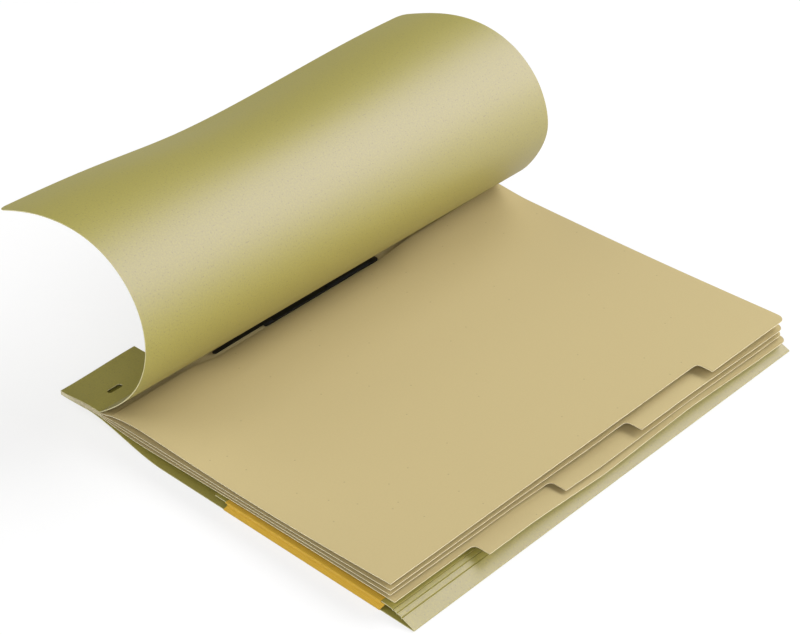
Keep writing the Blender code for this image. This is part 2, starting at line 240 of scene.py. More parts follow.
def manila_material(colours):
    """Uncoated manila board: even matte pulp with very few dark fibres."""
    made, tree, shader = fresh_material("manila_board")
    place = millimetres(tree)
    base = tuple(colours.manila)
    even, grain = pulp(tree, place, base, contrast=0.022, grain=1.1)
    specks = flecked(tree, place, even, shaded(base, 0.7), spacing=16.0, width=0.6, share=0.3)
    tree.links.new(specks, shader.inputs["Base Color"])
    rough = add_node(tree, "ShaderNodeMapRange", {}, {"Value": grain, "To Min": 0.66, "To Max": 0.76})
    tree.links.new(rough.outputs["Result"], shader.inputs["Roughness"])
    shader.inputs["IOR"].default_value = 1.5
    return made


def cut_edge_material(name, edge):
    """Cut edge of pulp board: raw layered fibre, paler and duller than the pressed face."""
    made, tree, shader = fresh_material(name)
    layered = pulp(tree, millimetres(tree), edge, contrast=0.08, grain=1.5)[0]
    tree.links.new(layered, shader.inputs["Base Color"])
    shader.inputs["Roughness"].default_value = 0.85
    return made


def linen_material(colours):
    """Bookbinding linen: a plain weave of thread in its dye colour, drawn at 0.8 mm so that it shows, with
    painted shade between the threads.
    """
    made, tree, shader = fresh_material("bookbinding_linen")
    place = millimetres(tree)
    thread_spacing = 0.8
    base = tuple(colours.linen)
    weave = []
    for direction in ("X", "Y"):
        threads = add_node(tree, "ShaderNodeTexWave", {
            "wave_type": "BANDS", "bands_direction": direction, "wave_profile": "SIN"}, {
            "Vector": place, "Scale": math.pi / (10 * thread_spacing), "Distortion": 0.8, "Detail": 2.0})
        weave.append(threads.outputs["Fac"])
    height = add_node(tree, "ShaderNodeMath", {"operation": "MAXIMUM"}, {0: weave[0], 1: weave[1]})
    # Painted shade and light: by the weave's height, the gaps between the threads are painted darker and the
    # thread tops lighter
    weave_with_painted_shade = add_node(tree, "ShaderNodeMix", {"data_type": "RGBA"}, {
        "Factor": height.outputs["Value"], "A": shaded(base, 0.72), "B": shaded(base, 1.08)})
    tree.links.new(weave_with_painted_shade.outputs["Result"], shader.inputs["Base Color"])
    shader.inputs["Roughness"].default_value = 0.7
    shader.inputs["Sheen Weight"].default_value = 0.15
    bump = add_node(tree, "ShaderNodeBump", {}, {
        "Height": height.outputs["Value"], "Strength": 0.35, "Distance": 0.0002})
    tree.links.new(bump.outputs["Normal"], shader.inputs["Normal"])
    return made


def plastic_material(colours):
    """Moulded polypropylene: smooth with a faint mould texture, and a little glossy."""
    made, tree, shader = fresh_material("moulded_polypropylene")
    shader.inputs["Base Color"].default_value = tuple(colours.plastic)
    shader.inputs["IOR"].default_value = 1.49
    grain = 0.5
    texture = add_node(tree, "ShaderNodeTexNoise", {"noise_dimensions": "2D"}, {
        "Vector": millimetres(tree), "Scale": 1 / grain, "Detail": 2.0})
    rough = add_node(tree, "ShaderNodeMapRange", {}, {
        "Value": texture.outputs["Fac"], "To Min": 0.24, "To Max": 0.40})
    tree.links.new(rough.outputs["Result"], shader.inputs["Roughness"])
    return made


def stock(context):
    """The folder's materials by the name of the stock, made once."""
    colours = context.scene.folder_colours
    makers = {
        "mottled_pressboard": lambda: pressboard_material(colours),
        "manila_board": lambda: manila_material(colours),
        "bookbinding_linen": lambda: linen_material(colours),
        "moulded_polypropylene": lambda: plastic_material(colours),
        "pressboard_cut_edge": lambda: cut_edge_material("pressboard_cut_edge", linear("D2CBA0")),
        "manila_cut_edge": lambda: cut_edge_material("manila_cut_edge", linear("E6DDBC")),
    }
    return {name: bpy.data.materials.get(name) or make() for name, make in makers.items()}


def smooth_step(value, start, end):
    """0 at start, 1 at end and eased between; start may be the larger."""
    share = min(max((value - start) / (end - start), 0.0), 1.0)
    return share * share * (3 - 2 * share)


def steps(start, end, pace):
    """Values from start to end, about a pace apart."""
    count = max(int(round((end - start) / pace)), 1)
    return [start + (end - start) * index / count for index in range(count + 1)]


# Stations along the spine, between its ends, where the covers' margins and the dividers are cut
ALONG = steps(0, LENGTH, 0.010)[1:-1]

# Angle between the short facets of a round bend, in radians
BEND_PACE = 0.2


def unit(u, v):
    """The direction (u, v) at length 1."""
    length = math.hypot(u, v)
    return u / length, v / length


def rounded(corners, facets=6):
    """Outline through corners (u, v, radius), each right-angled corner rounded by an arc."""
    outline = []
    for index, (u, v, radius) in enumerate(corners):
        if radius == 0:
            outline.append((u, v))
            continue
        before = corners[index - 1]
        after = corners[(index + 1) % len(corners)]
        start = unit(before[0] - u, before[1] - v)
        end = unit(after[0] - u, after[1] - v)
        for step in range(facets + 1):
            turn = math.pi / 2 * step / facets
            outline.append((
                u + radius * (start[0] * (1 - math.sin(turn)) + end[0] * (1 - math.cos(turn))),
                v + radius * (start[1] * (1 - math.sin(turn)) + end[1] * (1 - math.cos(turn))),
            ))
    return outline


def oblong(length, width, centre, facets=8):
    """Outline of a slot with round ends, long along the spine; a circle where it is as wide as long."""
    outline = []
    for end in (1, -1):
        for step in range(facets + (1 if length > width else 0)):
            turn = math.pi * step / facets + (0 if end > 0 else math.pi)
            outline.append((
                centre[0] + width / 2 * math.cos(turn),
                centre[1] + end * (length - width) / 2 + width / 2 * math.sin(turn),
            ))
    return outline


def track(points):
    """Distances along a line through points, and a function from such a distance to its place."""
    line = np.array(points)
    reached = np.concatenate([[0], np.cumsum(np.hypot(*np.diff(line, axis=0).T))])

    def at(distance):
        u = float(np.interp(distance, reached, line[:, 0]))
        v = float(np.interp(distance, reached, line[:, 1]))
        return u, v

    return reached, at


def corners_of(reached):
    """The distances between a line's two ends at which it bends."""
    return [float(distance) for distance in reached[1:-1]]


# A sheet's direction is taken over this reach, and edges bent more than the angle are drawn sharp
NORMAL_REACH = 0.00005
SHARP_ANGLE = math.radians(40)


def flat_mesh(outline, holes, across, along):
    """A flat net (u, v) inside an outline and round its holes, cut at the given stations."""
    net = bmesh.new()
    loops = [[Vector((u, v, 0)) for u, v in loop] for loop in [outline] + holes]
    verts = [net.verts.new(point) for loop in loops for point in loop]
    if holes:
        for corners in tessellate_polygon(loops):
            net.faces.new([verts[corner] for corner in corners])
    else:
        net.faces.new(verts)
    cuts = [((u, 0, 0), (1, 0, 0)) for u in across] + [((0, v, 0), (0, 1, 0)) for v in along]
    for place, direction in cuts:
        everything = net.verts[:] + net.edges[:] + net.faces[:]
        bmesh.ops.bisect_plane(net, geom=everything, plane_co=place, plane_no=direction, dist=1e-6)
    for face in net.faces:
        if face.normal.z < 0:
            face.normal_flip()
    return net


def bent_sheet(name, outline, place, thickness, materials, across=(), along=(), holes=(), grain_from=0.0):
    """A closed sheet cut to an outline (u, v) and bent by place(u, v); cut edges get the last material."""
    net = flat_mesh(outline, list(holes), across, along)
    net.verts.index_update()
    flat = [(vert.co.x, vert.co.y) for vert in net.verts]
    reach = NORMAL_REACH
    upper = []
    lower = []
    for u, v in flat:
        centre = Vector(place(u, v))
        side_u = Vector(place(u + reach, v)) - Vector(place(u - reach, v))
        side_v = Vector(place(u, v + reach)) - Vector(place(u, v - reach))
        normal = side_u.cross(side_v).normalized()
        upper.append(centre + normal * thickness / 2)
        lower.append(centre - normal * thickness / 2)
    count = len(flat)
    tops = [[vert.index for vert in face.verts] for face in net.faces]
    unders = [[index + count for index in reversed(face)] for face in tops]
    rims = []
    for edge in net.edges:
        if len(edge.link_faces) == 1:
            loop = edge.link_loops[0]
            a, b = loop.vert.index, loop.link_loop_next.vert.index
            rims.append([b, a, a + count, b + count])
    net.free()
    mesh = bpy.data.meshes.new(name)
    mesh.from_pydata([tuple(point) for point in upper + lower], [], tops + unders + rims)
    layer = mesh.uv_layers.new(name="flat")
    for loop in mesh.loops:
        u, v = flat[loop.vertex_index % count]
        layer.data[loop.index].uv = (u + grain_from, v)
    for material in materials:
        mesh.materials.append(material)
    rim_start = len(tops) + len(unders)
    for polygon in mesh.polygons:
        polygon.material_index = len(materials) - 1 if polygon.index >= rim_start else 0
    mesh.shade_smooth()
    mesh.set_sharp_from_angle(angle=SHARP_ANGLE)
    piece = bpy.data.objects.new(name, mesh)
    bpy.context.scene.collection.objects.link(piece)
    return piece


def finished(nodes=()):
    """Hides the solids that a piece stands for."""
    if nodes:
        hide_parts(*nodes)


def world_point(x, y, z):
    """Frame coordinates of a point measured from the spine's near corner."""
    return SPINE_X + x, NEAR_Y + y, z


# The bound margin lies higher at the far end, and the lugs' outer corners hang a little
FAR_LIFT = 0.0056
LIFT_POWER = 1.3
LUG_DROOP = 0.002
LUG_DROOP_REACH = (0.028, 0.055)

# At the spine's edge the stack is pressed to this share of its height, up to a reach from the spine
PINCH = 0.64
PINCH_REACH = 0.021
RECESS_FILLET = 0.003


def lift(y):
    """How far the bound margin lies above its height at the near end."""
    return FAR_LIFT * (max(y, 0.0) / LENGTH) ** LIFT_POWER


def bound_height(z, x, y):
    """Height of a bound sheet: at the spine's edge the sheets lie closer than further in."""
    middle = (MARGIN_Z + BACK_TOP) / 2
    pinched = middle + (z - middle) * (PINCH + (1 - PINCH) * smooth_step(x, 0.0, PINCH_REACH))
    across, along = LUG_DROOP_REACH
    corner = (1 - smooth_step(x, 0.0, across)) * (1 - smooth_step(min(y, LENGTH - y), 0.0, along))
    return pinched + lift(y) - LUG_DROOP * corner


def margin_outline(sizes, width):
    """Flat outline from the spine to a width: two lugs with a recess between them."""
    return rounded([
        (0, 0, 0),
        (width, 0, 0),
        (width, LENGTH, 0),
        (0, LENGTH, 0),
        (0, LENGTH - sizes.lug, 0),
        (sizes.recess, LENGTH - sizes.lug, RECESS_FILLET),
        (sizes.recess, sizes.lug, RECESS_FILLET),
        (0, sizes.lug, 0),
    ])


def hanging_slots(sizes, clearance=0.0):
    """Outlines of the two hanging slots, punched wider by a clearance in the sheets between the covers."""
    return [
        oblong(sizes.slot_length + clearance, sizes.slot_width + clearance, (sizes.slot_from_spine, y))
        for y in (sizes.slot_from_end, LENGTH - sizes.slot_from_end)
    ]


# How many short straight steps the curl's line is made of
CURL_SAMPLES = 2000


def curl_profile(sizes):
    """Distances from the crease, and the front cover's x and z there."""
    distance = np.linspace(0, CURL_LENGTH, CURL_SAMPLES + 1)
    middle = (distance[1:] + distance[:-1]) / 2
    first = np.minimum(middle, sizes.curl_tight)
    past = np.maximum(middle - sizes.curl_tight, 0)
    start = 1 / sizes.curl_radius
    turning = sizes.curl_end - sizes.curl_start
    tight = (2 * turning - start * sizes.curl_tight) / CURL_LENGTH
    heading = sizes.curl_start + start * first + (tight - start) * first ** 2 / (2 * sizes.curl_tight)
    heading += tight * past - tight * past ** 2 / (2 * (CURL_LENGTH - sizes.curl_tight))
    pace = CURL_LENGTH / CURL_SAMPLES
    x = MARGIN_WIDTH + np.concatenate([[0], np.cumsum(np.cos(heading))]) * pace
    z = MARGIN_Z + np.concatenate([[0], np.cumsum(np.sin(heading))]) * pace
    return distance, x, z


# Where on the curled cover the far end's lift fades out, from the crease
LIFT_FADES = (0.045, 0.125)

# The free edge dips most at one place along the spine, over a shorter stretch on its near side
DIP_PLACE = 0.138
DIP_SPREADS = (0.070, 0.095)
DIP_START = 0.55 * CURL_LENGTH

# Besides, the upper curl droops at the near end, and less along most of the spine
NEAR_DROOP = 0.0016
NEAR_DROOP_END = 0.150
LONG_DROOP = 0.0010
LONG_DROOP_FADES = (0.215, 0.300)
DROOP_STARTS = (0.5 * CURL_LENGTH, 0.8 * CURL_LENGTH)

# Towards the far end the curl's lower part bulges to the fore edge
FAR_BELLY = 0.0035
BELLY_RISES = (0.005, 0.040)
BELLY_FALLS = (0.070, 0.105)
BELLY_LOSS = 0.6

# The free edge is this much nearer the crease at the near end
EDGE_SKEW = 0.003

# Board left free at the crease, and a reach either side of each hinge between the strips, where the curl's
# place is computed but not used
CREASE_CLEARANCE = 0.0001
STRIP_BLEND = 0.42 * STRIP

# How finely the curl is cut across and along, and the margin across, up to a distance from the spine
CURL_PACE = 0.0012
CURL_ALONG = 0.008
MARGIN_PACE = 0.003
MARGIN_CUTS_END = 0.030


class FOLDER_OT_front_cover(Operator):
    """Adds the front cover: its bound margin and the curled leaf"""

    bl_idname = "folder.front_cover"
    bl_label = "Front cover"

    def execute(self, context):
        sizes = context.scene.folder_sizes
        board = stock(context)
        finish = [board["mottled_pressboard"], board["pressboard_cut_edge"]]
        margin = bent_sheet(
            "front_cover_margin_board", margin_outline(sizes, MARGIN_WIDTH - CREASE_CLEARANCE),
            lambda u, v: world_point(u, v, bound_height(MARGIN_Z, u, v)), sizes.board, finish,
            across=steps(0, MARGIN_CUTS_END, MARGIN_PACE)[1:], along=ALONG, holes=hanging_slots(sizes))
        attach(margin, "bound_spine")
        finished(["front_cover_margin"])
        distance, xs, zs = curl_profile(sizes)

        def place(s, y):
            sag = smooth_step(s, DIP_START, CURL_LENGTH)
            spread = DIP_SPREADS[0] if y < DIP_PLACE else DIP_SPREADS[1]
            dip = sizes.edge_sag * sag * math.exp(-((y - DIP_PLACE) / spread) ** 2)
            droop = NEAR_DROOP * (1 - smooth_step(y, 0, NEAR_DROOP_END))
            droop += LONG_DROOP * (1 - smooth_step(y, *LONG_DROOP_FADES))
            dip += droop * smooth_step(s, *DROOP_STARTS)
            raised = lift(y) * (1 - smooth_step(s, *LIFT_FADES))
            belly = smooth_step(s, *BELLY_RISES) * (1 - BELLY_LOSS * smooth_step(s, *BELLY_FALLS))
            out = FAR_BELLY * belly * (max(y, 0.0) / LENGTH) ** 2
            x = float(np.interp(s, distance, xs)) + out
            z = float(np.interp(s, distance, zs)) - dip + raised
            return world_point(x, y, z)

        for index in range(STRIPS):
            start = CREASE_CLEARANCE if index == 0 else (index - 0.5) * STRIP
            last = index == STRIPS - 1
            end = CURL_LENGTH if last else (index + 0.5) * STRIP
            corner = sizes.cover_corner if last else 0
            skew = EDGE_SKEW if last else 0
            outline = rounded([
                (start, 0, 0), (end - skew, 0, corner), (end, LENGTH, corner), (start, LENGTH, 0)])
            piece = bent_sheet(
                f"front_cover_curl_{index + 1:02d}", outline, place, sizes.board, finish,
                across=steps(start, end, CURL_PACE)[1:-1], along=steps(0, LENGTH, CURL_ALONG)[1:-1],
                grain_from=MARGIN_WIDTH)
            if index == 0:
                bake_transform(piece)
            else:
                hinge = index * STRIP
                place(hinge - STRIP_BLEND, MIDDLE)
                place(hinge + STRIP_BLEND, MIDDLE)
                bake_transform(piece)
            finished([f"front_cover_strip_{index + 1:02d}"])
        return {"FINISHED"}


# Heights of the leaves over the pocket's top, from the top divider down
SHOULDER_RISES = (0.01085, 0.00585, 0.00365, 0.00085)
FORE_RISES = (0.01375, 0.00985, 0.00665, 0.00385)
LEAF_SAGS = (0.0025, 0.0007, 0.0002, -0.0008)
FAR_SHOULDER = 0.0028
FAR_SAG = 0.0009
SHOULDER_RUN = 0.027

# The lower leaves droop to the pocket along their fore edge, unevenly from the near end to the far one
DROOP_PLACES = (0.0, 0.095, 0.150, 0.225, 0.290, LENGTH)
FORE_DROOPS = (
    (0.0, 0.0, 0.0, 0.0, 0.0, 0.0),
    (0.0, 0.0, 0.0010, 0.0006, 0.0020, 0.0022),
    (0.0, 0.0005, 0.0026, 0.0018, 0.0028, 0.0028),
    (0.0, 0.0, 0.0028, 0.0006, 0.0028, 0.0030),
)

# Index tabs: where the lowest one steps out, how long the top one is, and how their corners are cut
LOWEST_STEP = 0.0575
TOP_TAB_LENGTH = 0.071
TAB_CORNER = 0.0003
TAB_FILLET = 0.003
DIVIDER_CORNER = 0.005

# A leaf folds up to a ridge at its crease, which the fastener holds down: shares of the rise along the spine
RIDGE_PLACES = (0.0, 0.055, 0.080, 0.207, 0.235, LENGTH)
RIDGE_SHARES = (0.50, 0.72, 0.15, 0.20, 0.80, 0.98)
HELD_CREASE = LEAF_CREASE - 0.0012

# At both ends of the folder the leaves rise straight from the front cover's crease
FREE_CREASE = MARGIN_WIDTH + 0.0005
HELD_NEAR = (0.003, 0.030)
HELD_FAR = (0.315, 0.290)
FAR_POWER = 1.5

# Holes in the bound margins: hidden slots are wide, so that the hanging slots look dark
PUNCHED_HOLE = 0.0045
SLOT_CLEARANCE = 0.010
PRONG_SPACING = 0.080

# How finely a leaf's bend and its parts are cut
SHOULDER_PACE = 0.001
LEAF_PACE = 0.003
FREE_FOLD_PACE = 0.0015
HELD_FOLD_PACE = 0.0003


def prong_places():
    """Where the fastener's prongs stand: x from the spine, and y of the near and the far one."""
    low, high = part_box("fastener_bar")
    middle = (low.y + high.y) / 2 - NEAR_Y
    return (low.x + high.x) / 2 - SPINE_X, (middle - PRONG_SPACING / 2, middle + PRONG_SPACING / 2)


class FOLDER_OT_dividers(Operator):
    """Adds the dividers: bound margins and leaves with stepped index tabs"""

    bl_idname = "folder.dividers"
    bl_label = "Dividers"

    def execute(self, context):
        sizes = context.scene.folder_sizes
        board = stock(context)
        finish = [board["manila_board"], board["manila_cut_edge"]]
        pocket_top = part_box("gusset_band_near")[1].z
        shoulder_x = LEAF_CREASE + SHOULDER_RUN
        pitch = (LENGTH - LOWEST_STEP - TOP_TAB_LENGTH) / (DIVIDERS - 1)
        prong_x, prong_ys = prong_places()
        holes = hanging_slots(sizes, SLOT_CLEARANCE)
        holes += [oblong(PUNCHED_HOLE, PUNCHED_HOLE, (prong_x, y)) for y in prong_ys]
        for index in range(DIVIDERS):
            number = index + 1
            height = HINGES[f"divider_{number}_turn"].z
            shoulder = pocket_top + SHOULDER_RISES[index]
            fore = pocket_top + FORE_RISES[index]
            tab_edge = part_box(f"divider_{number}_leaf")[1].x - SPINE_X
            recess_edge = tab_edge - sizes.tab_depth

            def rise(u, foot, ridge):
                """Height of the divider from the foot of its fold, over the ridge, to its shoulder."""
                up = min(max((u - foot) / (LEAF_CREASE - foot), 0), 1)
                on = max((u - LEAF_CREASE) / SHOULDER_RUN, 0)
                share = ridge * up + (1 - ridge) * (1 - (1 - on) ** 2)
                return height + (shoulder - height) * share

            def divider(u, v):
                far = (max(v, 0.0) / LENGTH) ** FAR_POWER
                if u > shoulder_x:
                    share = (u - shoulder_x) / (recess_edge - shoulder_x)
                    sag = (LEAF_SAGS[index] * (1 - far) + FAR_SAG * far) * math.sin(math.pi * min(share, 1))
                    raised = FAR_SHOULDER * far * (1 - share)
                    droop = float(np.interp(v, DROOP_PLACES, FORE_DROOPS[index])) * share ** 2
                    return world_point(u, v, shoulder + (fore - shoulder) * share - sag + raised - droop)
                free = 1 - smooth_step(v, *HELD_NEAR) + 1 - smooth_step(v, *HELD_FAR)
                ridge = float(np.interp(v, RIDGE_PLACES, RIDGE_SHARES))
                held = rise(u, HELD_CREASE, ridge)
                level = held + free * (rise(u, FREE_CREASE, ridge) - held)
                near_shoulder = smooth_step(u, FREE_CREASE, shoulder_x)
                lowered = (lift(v) - FAR_SHOULDER * far) * near_shoulder
                return world_point(u, v, bound_height(level, u, v) - lowered)

            step = LENGTH - TOP_TAB_LENGTH - index * pitch
            outline = rounded([
                (LEAF_CREASE, 0, 0),
                (recess_edge, 0, TAB_CORNER),
                (recess_edge, step, TAB_FILLET),
                (tab_edge, step, TAB_CORNER),
                (tab_edge, LENGTH, DIVIDER_CORNER),
                (LEAF_CREASE, LENGTH, 0),
            ])
            cuts = steps(LEAF_CREASE, shoulder_x, SHOULDER_PACE)[1:]
            cuts += steps(shoulder_x, tab_edge, LEAF_PACE)[1:-1]
            piece = bent_sheet(
                f"divider_{number}_sheet", outline, divider, sizes.sheet, finish, across=cuts, along=ALONG)
            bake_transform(piece)
            finished([f"divider_{number}_leaf"])
            cuts = steps(0, FREE_CREASE, MARGIN_PACE)[1:]
            cuts += steps(FREE_CREASE, HELD_CREASE, FREE_FOLD_PACE)[1:]
            cuts += steps(HELD_CREASE, LEAF_CREASE, HELD_FOLD_PACE)[1:-1]
            margin = bent_sheet(
                f"divider_{number}_bound", margin_outline(sizes, LEAF_CREASE), divider, sizes.sheet, finish,
                across=cuts, along=ALONG, holes=holes)
            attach(margin, "bound_spine")
            finished([f"divider_{number}_margin"])
        return {"FINISHED"}


# Pocket strip: widths between its three scores from the fold inwards, and how steeply each lies
SCORED_WIDTHS = (0.0082, 0.0034, 0.0028, 0.0053)
SCORED_LEANS = (1.45, 1.2, 0.95, 0.35)
SCORE_WIDTH = 0.0010
SCORE_DEPTH = 0.0007
POCKET_CORNER = 0.001

# The back cover comes down from the margin over a slope, and its fold is a piece of its own from the lap on
SLOPE_LEAD = 0.0115
SLOPE_RUN = 0.062
FOLD_LAP = 0.012


class FOLDER_OT_back_cover(Operator):
    """Adds the back cover and the pocket folded up from its fore edge"""

    bl_idname = "folder.back_cover"
    bl_label = "Back cover and pocket"

    def execute(self, context):
        sizes = context.scene.folder_sizes
        board = stock(context)
        finish = [board["mottled_pressboard"], board["pressboard_cut_edge"]]
        slope_start = MARGIN_WIDTH - SLOPE_LEAD
        low = sizes.board / 2
        high = BACK_TOP - low
        join = COVER_WIDTH - FOLD_LAP

        def panel(u, v):
            share = min(max(u - slope_start, 0) / SLOPE_RUN, 1)
            drop = (1 + math.cos(math.pi * share)) / 2
            return world_point(u, v, low + (bound_height(high, u, v) - low) * drop)

        cuts = steps(0, slope_start, MARGIN_PACE)[1:]
        cuts += steps(slope_start, slope_start + SLOPE_RUN, MARGIN_PACE)[1:]
        back = bent_sheet(
            "back_cover_board", margin_outline(sizes, join), panel, sizes.board, finish,
            across=cuts, along=ALONG, holes=hanging_slots(sizes))
        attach(back, "bound_spine")
        finished(["back_panel"])

        # From the back cover round the fold, over the scored strip and level to the pocket's mouth
        lean = (FLAP_Z - FOLD_Z) / sum(w * part for w, part in zip(SCORED_WIDTHS, SCORED_LEANS))
        bend = (FOLD_Z - low) / 2
        turned = math.pi - math.asin(lean * SCORED_LEANS[0])
        line = [(join, low)]
        for turn in steps(0, turned, BEND_PACE):
            line.append((FOLD_X - bend + bend * math.sin(turn), low + bend - bend * math.cos(turn)))
        scores = []
        half = SCORE_WIDTH / 2
        x, z = line[-1]
        for width, part in zip(SCORED_WIDTHS, SCORED_LEANS):
            run = math.sqrt(1 - (lean * part) ** 2)
            rise = lean * part
            if scores:
                line.append((x - half * run, z + half * rise))
            line.append((x - (width - half) * run, z + (width - half) * rise))
            scores.append(len(line))
            x -= width * run
            z += width * rise
            line.append((x - SCORE_DEPTH * rise, z - SCORE_DEPTH * run))
        line[-1] = (x, z)
        line.append((x - SCORE_WIDTH, z))
        line.append((MOUTH_X, z))
        reached, at = track(line)
        split = reached[scores[-1]] - SCORED_WIDTHS[-1] / 2
        bends = corners_of(reached)

        def pocket(u, v):
            x, z = at(u)
            return world_point(x, v, z)

        fold = bent_sheet(
            "pocket_fold_board", [(0, 0), (split, 0), (split, LENGTH), (0, LENGTH)], pocket, sizes.board,
            finish, across=[distance for distance in bends if distance < split], grain_from=join)
        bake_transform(fold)
        finished(["pocket_strip"])
        mouth = float(reached[-1])
        outline = rounded([
            (split, 0, 0), (mouth, 0, POCKET_CORNER), (mouth, LENGTH, POCKET_CORNER), (split, LENGTH, 0)])
        flap = bent_sheet(
            "pocket_flap_board", outline, pocket, sizes.board, finish,
            across=[distance for distance in bends if distance > split], grain_from=join)
        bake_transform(flap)
        finished(["pocket_flap"])
        return {"FINISHED"}


# Gusset walls: inward fold and its softened crease, slant of the ends, hem under the flap, and the foot
WALL_FOLD = 0.0014
WALL_FOLD_SIDE = 0.85
WALL_FOLD_HALF = 0.0004
WALL_SLANT = 0.0035
WALL_HEM = 0.005
WALL_BEND = 0.0006
WALL_BEND_PACE = 0.4
WALL_FOOT = 0.0003

# Linen bands: roll over the flap's edge, where it starts and ends, and how far they stop from the wall's ends
ROLL = 0.00055
ROLL_START = 0.0022
ROLL_END = 0.0012
BAND_SHORT = 0.0025
BAND_INSET = 0.0024
BAND_CORNER = 0.001

# Glued linen lies this far from what it is glued on
GLUE_LINE = 0.00003


def drawn_along(at, edge, inward):
    """Bends a sheet to a line of depths and heights at one end of the pocket, drawn along the pocket."""

    def place(u, v):
        depth, z = at(u)
        return world_point(v, edge + inward * depth, z)

    return place


class FOLDER_OT_gussets(Operator):
    """Adds the linen gussets: a folded wall at each end of the pocket, and a band glued over the flap"""

    bl_idname = "folder.gussets"
    bl_label = "Gussets"

    def execute(self, context):
        sizes = context.scene.folder_sizes
        cloth = stock(context)["bookbinding_linen"]
        flap_top = FLAP_Z + sizes.board / 2
        flap_under = FLAP_Z - sizes.board / 2
        half = sizes.linen / 2
        rest = GLUE_LINE
        for side, edge, inward in (("near", 0, 1), ("far", LENGTH, -1)):
            low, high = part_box("gusset_" + side)
            start = low.x - SPINE_X
            end = high.x - SPINE_X
            over = [(sizes.band, flap_top + half + rest), (ROLL_START, flap_top + half + rest)]
            drop = (flap_top - flap_under) / 2 + half + rest
            for turn in steps(0, math.pi, BEND_PACE):
                over.append((-ROLL * math.sin(turn), FLAP_Z + drop * math.cos(turn)))
            over.append((ROLL_END, flap_under - half - rest))
            reached, at = track(over)
            width = float(reached[-1])
            piece = bent_sheet(
                f"gusset_band_{side}_linen",
                rounded([
                    (0, start + BAND_INSET, BAND_CORNER), (width, start + BAND_INSET, 0),
                    (width, end - BAND_SHORT, 0), (0, end - BAND_SHORT, BAND_CORNER)]),
                drawn_along(at, edge, inward), sizes.linen, [cloth], across=corners_of(reached))
            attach(piece, "pocket_flap")
            finished(["gusset_band_" + side])

            top = flap_under - 3 * half - 3 * rest
            middle = top / 2 + sizes.board / 2
            fall = [(WALL_HEM, top), (WALL_BEND, top)]
            for turn in steps(0, math.pi / 2, WALL_BEND_PACE):
                fall.append((WALL_BEND * (1 - math.sin(turn)) - half, top - WALL_BEND * (1 - math.cos(turn))))
            fall += [
                (WALL_FOLD * WALL_FOLD_SIDE, middle + WALL_FOLD_HALF),
                (WALL_FOLD, middle),
                (WALL_FOLD * WALL_FOLD_SIDE, middle - WALL_FOLD_HALF),
                (-half, sizes.board + WALL_FOOT),
                (-half - rest, sizes.board / 2),
                (-half - rest, rest),
            ]
            reached, at = track(fall)
            hem = float(reached[1])
            width = float(reached[-1])
            outline = [
                (0, start + WALL_SLANT), (hem, start + WALL_SLANT), (width, start),
                (width, end - WALL_SLANT), (hem, end), (0, end)]
            piece = bent_sheet(
                f"gusset_{side}_linen", outline, drawn_along(at, edge, inward), sizes.linen, [cloth],
                across=corners_of(reached))
            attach(piece, "bound_spine")
            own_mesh(piece)
            finished(["gusset_" + side])
        return {"FINISHED"}


# Prongs: they bend flat on the bar, the near one outwards with a drooping tip and the far one inwards
PRONG_THICKNESS = 0.0004
PRONG_BEND = 0.0007
PRONG_INWARD = 0.036
PRONG_CLEARANCE = 0.0001
PRONG_CORNER = 0.0014
TIP_DROOP = 0.0005
NEAR_STRAIGHT = 0.002
FAR_STRAIGHT = 0.010

# Bar with rounded edges, and the slots that the prongs come up through
BAR_CORNER = 0.00125
BAR_EDGE = 0.0004
BAR_EDGE_FACETS = 3
BAR_SLOT = (0.0036, 0.0010)


